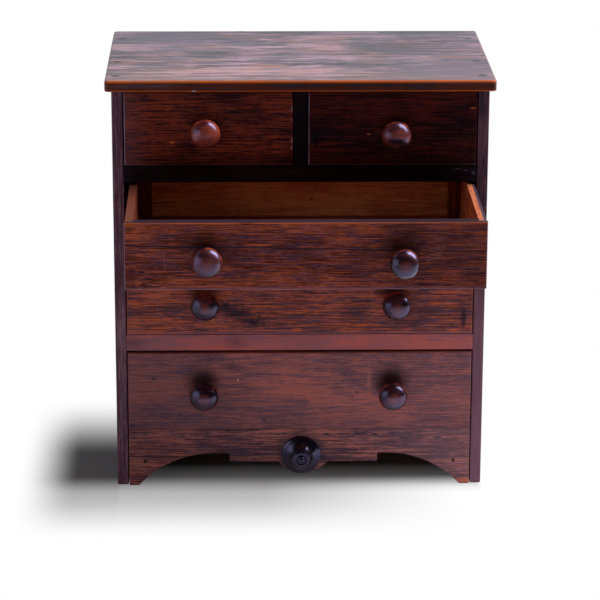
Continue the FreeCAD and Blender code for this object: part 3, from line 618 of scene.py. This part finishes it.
# ---------------------------------------------------------------------------------------------
# The back: two thin pine boards nailed on the rear edges of the sides, darkened by dust, and the
# cut nails of the whole carcass, which have rusted.
# ---------------------------------------------------------------------------------------------
# Pine gone dark brown and quite matt under dust.
back_pine = solid_wood("dusty_pine_back", "X", 13.4, ("#3a2414", "#5e3c22", "#7c5632"), gloss=0.7,
                       porous=0.25, clouding=0.3, painted_sheen=0.03)
finish_in(back_pine, "back_board_upper", "back_board_lower")
# Wrought iron gone dull, with brown rust in specks of about a millimetre.
RUST_SPECKS = 900
IRON_STOPS = ((0.4, "#1c1a1c"), (0.65, "#5a3420"))
iron = bpy.data.materials.new("rusted_iron_nail")
iron.use_nodes = True
tree = iron.node_tree
rust = add_node(tree, "ShaderNodeTexNoise", {
    "Vector": add_node(tree, "ShaderNodeTexCoord").outputs["Object"], "Scale": RUST_SPECKS,
    "Detail": 3}).outputs["Fac"]
iron_ramp = add_node(tree, "ShaderNodeValToRGB", {"Fac": rust})
for stop, (position, code) in zip(iron_ramp.color_ramp.elements, IRON_STOPS):
    stop.position, stop.color = position, colour(code)
shader = tree.nodes["Principled BSDF"]
tree.links.new(iron_ramp.outputs[0], shader.inputs["Base Color"])
shader.inputs["Metallic"].default_value = 0.7
shader.inputs["Roughness"].default_value = 0.55
finish_in(iron, "top_board_nails", "back_board_nails", "apron_nails")

# ---------------------------------------------------------------------------------------------
# The drawer fronts: mahogany boards, each cut from its own stuff, stained and waxed. Handling
# rubbed their upper arrises to orange-brown; the lower ones are painted lilac, a painted sheen of the
# bright floor. The open one's glue joint has opened from end to end.
# ---------------------------------------------------------------------------------------------
# Mahogany under old wax, in fine fibres: a painted bluish sheen, standing in for the bright floor mirrored
# in the wax, orange where it wore away, and painted shade above the knobs, their shadow and mirror image.
FRONT_FINISHES = {  # seed, tones, shine, painted sheen, painted shade above the knobs
    # The short drawers' tones are darker partly as painted shade, where the open drawer keeps the floor's
    # light off them.
    "short_drawer_left": (21.3, ("#220302", "#4c1c0d", "#7a2e14"), 0.12, 0.04, 0.4),
    "short_drawer_right": (22.9, ("#120001", "#330b05", "#4c1608"), 0.08, 0.03, 0.4),
    "second_drawer": (23.6, ("#46180a", "#763821", "#a24c26"), 0.1, 0.33, 0.7),
    "third_drawer": (24.2, ("#442626", "#834228", "#ac542a"), 0.12, 0.33, 0.7),
    "deep_drawer": (25.8, ("#563337", "#7a453c", "#9a533e"), 0.3, 0.25, 0.9),
}
UPPER_ARRIS, LOWER_ARRIS_SHEEN = "#8c4526", "#8c6a74"
PAINTED_SHADE_HALF_SIZES = (18, 14)
fronts = {}
for drawer, (seed, tones, shine, painted_sheen, painted_shade) in FRONT_FINISHES.items():
    front_wood = solid_wood(f"waxed_mahogany_{drawer}", "X", seed, tones, gloss=0.33, shine=shine,
                            fine=0.9, painted_sheen=painted_sheen)
    fronts[drawer] = front_wood
    edge_wear_and_sheen(front_wood, "Y", ("Z", 1), 0.4, UPPER_ARRIS)
    # Painted sheen: the lower arris is painted lilac, where it mirrors the bright floor.
    edge_wear_and_sheen(front_wood, "Y", ("Z", -1), 0.6, LOWER_ARRIS_SHEEN)
    for knob in (name for name in nodes if name.startswith(f"{drawer}_knob")):
        low, high = box_mm(knob)
        above = ((low.x + high.x) / 2 - 1, high.z, *PAINTED_SHADE_HALF_SIZES)
        # Painted shade above each knob: the knob's shadow and mirror image on the front.
        mark(front_wood, "#180503", painted_shade, 3.0, 0.35, [above])
    finish_in(front_wood, f"{drawer}_front")

# Painted shade along the short drawers' bottoms, where the open drawer keeps the light off them; a painted
# sheen at the left one's end, from the light on the left; and a painted lilac highlight on their left
# arrises.
for drawer in ("short_drawer_left", "short_drawer_right"):
    low = box_mm(f"{drawer}_front")[0]
    paint_over(fronts[drawer], strip(fronts[drawer], "Z", low.z + 2, low.z + 16), "#080304", 0.6)
    if drawer == "short_drawer_left":
        paint_over(fronts[drawer], strip(fronts[drawer], "X", low.x + 1, low.x + 22), "#7c6c80", 0.1)
    edge_wear_and_sheen(fronts[drawer], "Y", ("X", -1), 0.8, "#7c6c84")

# The open drawer's front is glued up from two boards, and the joint between them has opened. Its
# upper arris is rubbed orange, while its end arrises, its lower edge and the top of the board are painted
# lilac and grey-mauve, a painted sheen where they catch the light. It is speckled beside the left knob,
# and it has pale patches where it wore.
second_wood = fronts["second_drawer"]
low, high = box_mm("second_drawer_front")
joint_line = crack(second_wood, (low.x, 254.7), (high.x, 249.0), 0.8)
paint_over(second_wood, joint_line, "#1c1c2c")
press_in(second_wood, joint_line, 0.4)
# Painted sheen on the top of the board.
paint_over(second_wood, facing(second_wood, "Z", 0.8, 0.95), "#34242c")
for edge, reach, code in ((("Z", 1), 0.9, "#a04c24"), (("X", -1), 0.7, "#6c5a70"),
                          (("X", 1), 0.5, "#6c5a70")):
    edge_wear_and_sheen(second_wood, "Y", edge, reach, code)
# Painted sheen along the lower edge, from the bright floor.
paint_over(second_wood, strip(second_wood, "Z", low.z + 1.2, low.z + 3.0), "#6a4a58", 0.5)
SPECKLED = [(-104, 238, 34, 22)]
WORN_PALE = [(104, 248, 11, 9), (-128, 222, 22, 6)]
speckles = overlap(second_wood, patches(second_wood, (1.1, 1.1, 0.8), 0.6, 0.68),
                   spots(second_wood, 4, 0.1, SPECKLED))
paint_over(second_wood, speckles, "#c08058", 0.6)
paint_over(second_wood, strip(second_wood, "X", 130, 30), "#20161c", 0.35)
pale_streaks = overlap(second_wood, patches(second_wood, (5, 5, 0.9), 0.5, 0.6),
                       spots(second_wood, 3, 0.1, WORN_PALE))
paint_over(second_wood, pale_streaks, "#b86c48", 0.7)

# The deep drawer is painted darker towards its left end, a painted shade away from the lamp on the right,
# and darker along the bottom.
deep_wood = fronts["deep_drawer"]
paint_over(deep_wood, strip(deep_wood, "X", -130, -50), "#2c2030", 0.35)
paint_over(deep_wood, strip(deep_wood, "Z", 54, 78), "#30202a", 0.3)

FRONT_MARKS = {  # colour, strength, raggedness, solid share, and each one's middle and half sizes
    "short_drawer_left": [
        ("#b49a94", 0.4, 0.5, 0.6, [  # chips on the right arris
            (-7.6, 340, 0.7, 3), (-7.6, 330, 0.7, 1.2), (-7.6, 312, 0.7, 2.4), (-7.6, 306, 0.7, 1.5)]),
        ("#a8562c", 0.8, 1, 0.6, [(-109, 311, 2.6, 1.8)])],
    "short_drawer_right": [
        ("#080a10", 0.9, 2.4, 0.6, [(12.2, 314, 3.4, 8), (17, 318, 3, 3)]),
        ("#a8562c", 0.8, 0.6, 0.6, [(57.5, 317.5, 1.8, 0.8), (146, 340, 3, 0.8)])],
    "second_drawer": [
        ("#141624", 0.9, 0.5, 0.6, [
            (-141, 233, 4.5, 0.8), (-132, 232.4, 3.5, 0.9), (-126, 226.5, 4, 0.9)])],
    "third_drawer": [
        ("#1a1522", 0.8, 1.2, 0.6, [(142, 153, 2.6, 10)]),
        ("#14121e", 0.85, 6, 0.3, [  # one large stain
            (-54, 159, 16, 6.5), (-40, 151, 12, 5.5), (-66, 165, 11, 4.5)])],
    "deep_drawer": [
        ("#201420", 0.5, 5, 0.1, [(-80, 117, 18, 7), (-60, 110, 12, 5)]),
        ("#1a1a2c", 0.8, 0.8, 0.6, [  # small blots
            (-127, 99, 2.2, 1.3), (-31, 60.5, 2.2, 1.5), (-104, 66, 1.6, 1), (50, 86, 2, 1.2),
            (-146, 56, 3, 1.8)]),
        ("#c89080", 1, 0.3, 0.6, [(-54, 97.7, 0.8, 0.8)]),
        ("#ac6440", 0.4, 1.5, 0.2, [(60.5, 98, 2.4, 22)])],  # a step in the tone
}
for drawer, rows in FRONT_MARKS.items():
    for row in rows:
        mark(fronts[drawer], *row)

# The open drawer is scratched beside the left knob, and the third one's lower edge is painted lilac, a
# painted sheen from the bright floor.
SCRATCHES = (((-115, 249), (-112.5, 232)), ((-114, 243.4), (-103, 242.4)), ((-94, 247), (-88, 253)))
for start, end in SCRATCHES:
    paint_over(second_wood, crack(second_wood, start, end, 0.35), "#9a7c80", 0.35)
paint_over(fronts["third_drawer"], strip(fronts["third_drawer"], "Z", 140.5, 142.5), "#6a4a58", 0.5)

# ---------------------------------------------------------------------------------------------
# The drawer boxes: thin pine sides lapped into the fronts, backs and bottoms, and square glue
# blocks in the rear corners, oiled brown by handling. The right sides' top edges are rubbed pale.
# ---------------------------------------------------------------------------------------------
# Pine planed thin: orange-brown and half matt. The sides' faces that look right are painted darker:
# painted shade, where the light does not reach inside the drawers.
BOX_TONES = ("#8c4226", "#ac522c", "#c86c3c")
BACK_TONES = ("#b4603a", "#d07742", "#e4945a")
BLOCK_TONES = ("#4b170d", "#6d2a1b", "#8e3824")
RUBBED_EDGES = {"left": "#643624", "right": "#b06440"}
box_wide = solid_wood("oiled_pine_drawer_backs", "X", 32.7, BACK_TONES, gloss=0.5, porous=0.2, painted_sheen=0)
paint_over(box_wide, crack(box_wide, (-129, 237.7), (-107, 237.9), 0.8), "#180804", 0.9)
KNOT = (11.7, 241, 1.5, 1.2)
mark(box_wide, "#2a1208", 0.9, 0.4, 0.6, [KNOT])
box_floor = solid_wood("oiled_pine_drawer_bottoms", "X", 33.5, BOX_TONES, gloss=0.55, porous=0.2,
                       shade=0.05, painted_sheen=0)
box_block = solid_wood("oiled_pine_corner_blocks", "Z", 34.9, BLOCK_TONES, gloss=0.5, porous=0.2,
                       painted_sheen=0)
for side, edge_tone in RUBBED_EDGES.items():
    box_long = solid_wood(f"oiled_pine_drawer_sides_{side}", "Y", 31.1, BOX_TONES, gloss=0.5,
                          porous=0.2, painted_sheen=0)
    top_edge = facing(box_long, "Z", 0.5, 0.8)
    paint_over(box_long, top_edge, edge_tone)
    darker = overlap(box_long, top_edge, patches(box_long, (2, 14, 20), 0.5, 0.62))
    paint_over(box_long, darker, "#6c3018", 0.7)
    # Painted shade on the faces that look right.
    paint_over(box_long, facing(box_long, "X", 0.5, 0.9), "#4a1c0c", 0.8)
    if side == "right":
        outer = box_mm("second_drawer_side_right")[1].x
        stained_rim = overlap(box_long, top_edge, strip(box_long, "X", outer - 2.0, outer - 2.6))
        paint_over(box_long, stained_rim, "#3c2a32")
    finish_in(box_long, *(f"{drawer}_side_{side}" for drawer in fronts))
for drawer in fronts:
    finish_in(box_wide, f"{drawer}_back")
    finish_in(box_floor, f"{drawer}_bottom")
    if f"{drawer}_corner_blocks" in nodes:
        finish_in(box_block, f"{drawer}_corner_blocks")

# ---------------------------------------------------------------------------------------------
# The knobs: mushroom knobs turned in mahogany, polished to a shine, with a foot on the front
# and a spigot glued into it.
# ---------------------------------------------------------------------------------------------
def polished_wood(name, seed, tones, rim):
    """Turned and polished wood: smooth, with a warmer middle, a rim rubbed to orange, and its lower half
    painted darker as painted shade.
    """
    wood = solid_wood(name, "X", seed, tones, gloss=0.26, clouding=1.2, porous=0, shine=0.8, fine=0.3,
                      painted_sheen=0.1)
    polish(wood)
    paint_over(wood, facing(wood, "Y", -0.9, -1.0), "#8c4a30", 0.4)
    rubbed_rim = overlap(wood, facing(wood, "Y", -0.45, -0.2),
                         patches(wood, (9, 9, 9), 0.45, 0.6, seed))
    paint_over(wood, rubbed_rim, "#b04c22", rim)
    # Painted shade: the lower half is painted darker, as the light falls from above.
    paint_over(wood, facing(wood, "Z", 0.1, -0.6), "#140608", 0.55)
    return wood


red_knob = polished_wood("polished_red_mahogany", 43.1, ("#280c08", "#561c10", "#84381c"), 0.9)
brown_knob = polished_wood("polished_brown_mahogany", 41.6, ("#180606", "#300f0d", "#4a1b14"), 0.6)
pitted_knob = polished_wood("pitted_brown_mahogany", 45.3, ("#1a0606", "#381210", "#642818"), 0.6)
low, high = box_mm("short_drawer_right_knob")
BURNT = ((low.x + high.x) / 2, low.z + 6.5, 9, 6.5)
mark(pitted_knob, "#060304", 1, 2.0, 0.8, [BURNT])
KNOB_WOODS = {"short_drawer_left": red_knob, "short_drawer_right": pitted_knob}
KNOB_SPIGOT = 8.0
for drawer in fronts:
    knobs = [name for name in nodes if name.startswith(f"{drawer}_knob")]
    boxes = [box_mm(name) for name in knobs]
    low, high = boxes[0]
    knob_radius = (high.x - low.x) / 2
    knob_reach = high.y - low.y - KNOB_SPIGOT
    outline = turned_outline([
        (0, -KNOB_SPIGOT, 0), (4.0, -KNOB_SPIGOT, 0), (4.0, 0, 0), (7.6, 0, 0), (7.6, 1.0, 0),
        (6.0, 3.8, -20), (9.2, 7.6, -20), (knob_radius, 12.0, 60), (9.285, 18.894, 50),
        (0, knob_reach, 40)])
    seats = [Vector(((low.x + high.x) / 2, high.y - KNOB_SPIGOT, (low.z + high.z) / 2)) * MM
             for low, high in boxes]
    piece = turned_piece(f"{drawer}_turned_knobs", outline, seats, KNOB_WOODS.get(drawer, brown_knob))
    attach(piece, drawer)
    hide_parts(*knobs)

# ---------------------------------------------------------------------------------------------
# The studio: a white table with a white backdrop behind it, one large soft lamp overhead on the
# right, a pale card on the left, and an unlit room on the camera's side.
# ---------------------------------------------------------------------------------------------
ROOM_FILL = 0.18
ROOM_DARK = 0.02
BACKDROP_STARTS = (-0.1, 0.35)  # how far back a ray points where the backdrop starts and is full
BACKDROP_ENDS = (0.45, 0.8)  # how far up a ray points where it starts to fade and is gone
scene = bpy.context.scene
scene.view_settings.view_transform = "Standard"
world = bpy.data.worlds.new("studio_room")
scene.world = world
world.use_nodes = True
tree = world.node_tree
tree.nodes.clear()
ray = add_node(tree, "ShaderNodeLightPath").outputs
direction = add_node(tree, "ShaderNodeSeparateXYZ", {
    0: add_node(tree, "ShaderNodeTexCoord").outputs["Generated"]}).outputs
behind = add_node(tree, "ShaderNodeMapRange", {
    "Value": direction["Y"], "From Min": BACKDROP_STARTS[0], "From Max": BACKDROP_STARTS[1]})
overhead = add_node(tree, "ShaderNodeMapRange", {
    "Value": direction["Z"], "From Min": BACKDROP_ENDS[0], "From Max": BACKDROP_ENDS[1],
    "To Min": 1, "To Max": 0})
backdrop = add_node(tree, "ShaderNodeMath", {0: behind.outputs[0], 1: overhead.outputs[0]},
                    operation="MULTIPLY").outputs[0]
mirrored = add_node(tree, "ShaderNodeMath", {
    0: ray["Is Glossy Ray"], 1: ray["Is Transmission Ray"]}, operation="MAXIMUM").outputs[0]
room = add_node(tree, "ShaderNodeMapRange", {"Value": backdrop, "To Min": ROOM_DARK}).outputs[0]
level = add_node(tree, "ShaderNodeMix", {0: mirrored, 2: ROOM_FILL, 3: room}).outputs[0]
strength = add_node(tree, "ShaderNodeMix", {0: ray["Is Camera Ray"], 2: level, 3: 1}).outputs[0]
glow = add_node(tree, "ShaderNodeBackground", {"Color": (1, 1, 1, 1), "Strength": strength}).outputs[0]
add_node(tree, "ShaderNodeOutputWorld", {"Surface": glow})

FLOOR_HALF = 8.0
corners = [(-FLOOR_HALF, -FLOOR_HALF, 0), (FLOOR_HALF, -FLOOR_HALF, 0),
           (FLOOR_HALF, FLOOR_HALF, 0), (-FLOOR_HALF, FLOOR_HALF, 0)]
floor_mesh = bpy.data.meshes.new("floor")
floor_mesh.from_pydata(corners, [], [(0, 1, 2, 3)])
floor = bpy.data.objects.new("floor", floor_mesh)
scene.collection.objects.link(floor)

# White paper. To the light that it gives back to the cabinet, it is bright in a pool in front, dark
# in a band round three quarters of a metre away, and white again from one metre on. Each stop is
# metres from the front, and the share of light that the paper gives back there.
PAPER_TONE = 0.235  # the share of light that the camera sees it give back
POOL = ((0.0, 0.95), (0.35, 0.95), (0.55, 0.45), (0.75, 0.06), (1.0, 1.0))
# The white background closes in on the cabinet: all that is left of the shadow lies close to its
# left side and in front of its feet. Each clearing is how much of the shadow it takes away, and
# what that is measured on, with where it starts and is complete, in metres.
CLEARINGS = (
    (1, ("outside", 0.036, 0.090, "SMOOTHSTEP")),
    (1, ("across", 0.157, 0.161, "LINEAR")),
    (1, ("ahead", -0.075, -0.235, "SMOOTHSTEP")),
    (1, ("ahead", 0.015, 0.130, "SMOOTHSTEP")),
    (0.4, ("ahead", -0.023, 0.027, "SMOOTHSTEP")),
    (0.07, ("ahead", -0.050, -0.006, "LINEAR"), ("outside", 0, -0.003, "LINEAR")),
    (1, ("across", -0.030, 0.140, "LINEAR"), ("ahead", -0.023, 0.027, "SMOOTHSTEP")),
)
paper = bpy.data.materials.new("white_paper_table")
paper.use_nodes = True
tree = paper.node_tree
tree.nodes.clear()
ray = add_node(tree, "ShaderNodeLightPath").outputs
place = add_node(tree, "ShaderNodeSeparateXYZ", {
    0: add_node(tree, "ShaderNodeTexCoord").outputs["Object"]}).outputs
from_middle = add_node(tree, "ShaderNodeMath", {0: place["X"]}, operation="ABSOLUTE").outputs[0]
half_width = -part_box("side_left")[0].x
measures = {
    "across": place["X"],
    "ahead": add_node(tree, "ShaderNodeMath", {0: CASE_FRONT, 1: place["Y"]},
                      operation="SUBTRACT").outputs[0],
    "outside": add_node(tree, "ShaderNodeMath", {0: from_middle, 1: half_width},
                        operation="SUBTRACT").outputs[0],
}
pool = add_node(tree, "ShaderNodeValToRGB", {"Fac": measures["ahead"]})
stops = pool.color_ramp.elements
for reach, _ in POOL[1:-1]:
    stops.new(reach)
for stop, (reach, share) in zip(stops, POOL):
    stop.position, stop.color = reach, (share, share, share, 1)
kept = []
for amount, *ramps in CLEARINGS:
    masks = [add_node(tree, "ShaderNodeMapRange", {
        "Value": measures[measure], "From Min": start, "From Max": end}, interpolation_type=kind).outputs[0]
        for measure, start, end, kind in ramps]
    kept.append(add_node(tree, "ShaderNodeMath", {0: overlap(paper, *masks), 1: -amount, 2: 1},
                         operation="MULTIPLY_ADD").outputs[0])
clear = add_node(tree, "ShaderNodeMath", {0: 1, 1: overlap(paper, *kept)}, operation="SUBTRACT").outputs[0]
whitened = overlap(paper, clear, ray["Is Camera Ray"])
tone = add_node(tree, "ShaderNodeMix", {
    0: ray["Is Camera Ray"], 2: pool.outputs[0], 3: PAPER_TONE}).outputs[0]
paint = add_node(tree, "ShaderNodeBsdfDiffuse", {"Color": tone}).outputs[0]
white = add_node(tree, "ShaderNodeEmission", {"Color": (1, 1, 1, 1), "Strength": 1.0}).outputs[0]
mixed = add_node(tree, "ShaderNodeMixShader", {0: whitened, 1: paint, 2: white}).outputs[0]
add_node(tree, "ShaderNodeOutputMaterial", {"Surface": mixed})
floor_mesh.materials.append(paper)

LAMP_COLOUR = (0.95, 0.92, 1.0)
LAMPS = {  # place, what it faces, width and height, all in metres, and watts
    "softbox": ((0.98, 0.14, 1.28), (0, 0, 0.15), (0.9, 1.3), 46),
    "pale_card_left": ((-0.9, -0.5, 0.38), (0, 0, 0.18), (0.9, 0.6), 2.4),
}
for name, (stand, aim, size, watts) in LAMPS.items():
    light = bpy.data.lights.new(name, "AREA")
    light.shape = "RECTANGLE"
    light.size, light.size_y = size
    light.energy = watts
    light.color = LAMP_COLOUR
    lamp = bpy.data.objects.new(name, light)
    scene.collection.objects.link(lamp)
    lamp.location = stand
    lamp.rotation_euler = (Vector(aim) - Vector(stand)).to_track_quat("-Z", "Y").to_euler()
    lamp.visible_camera = False
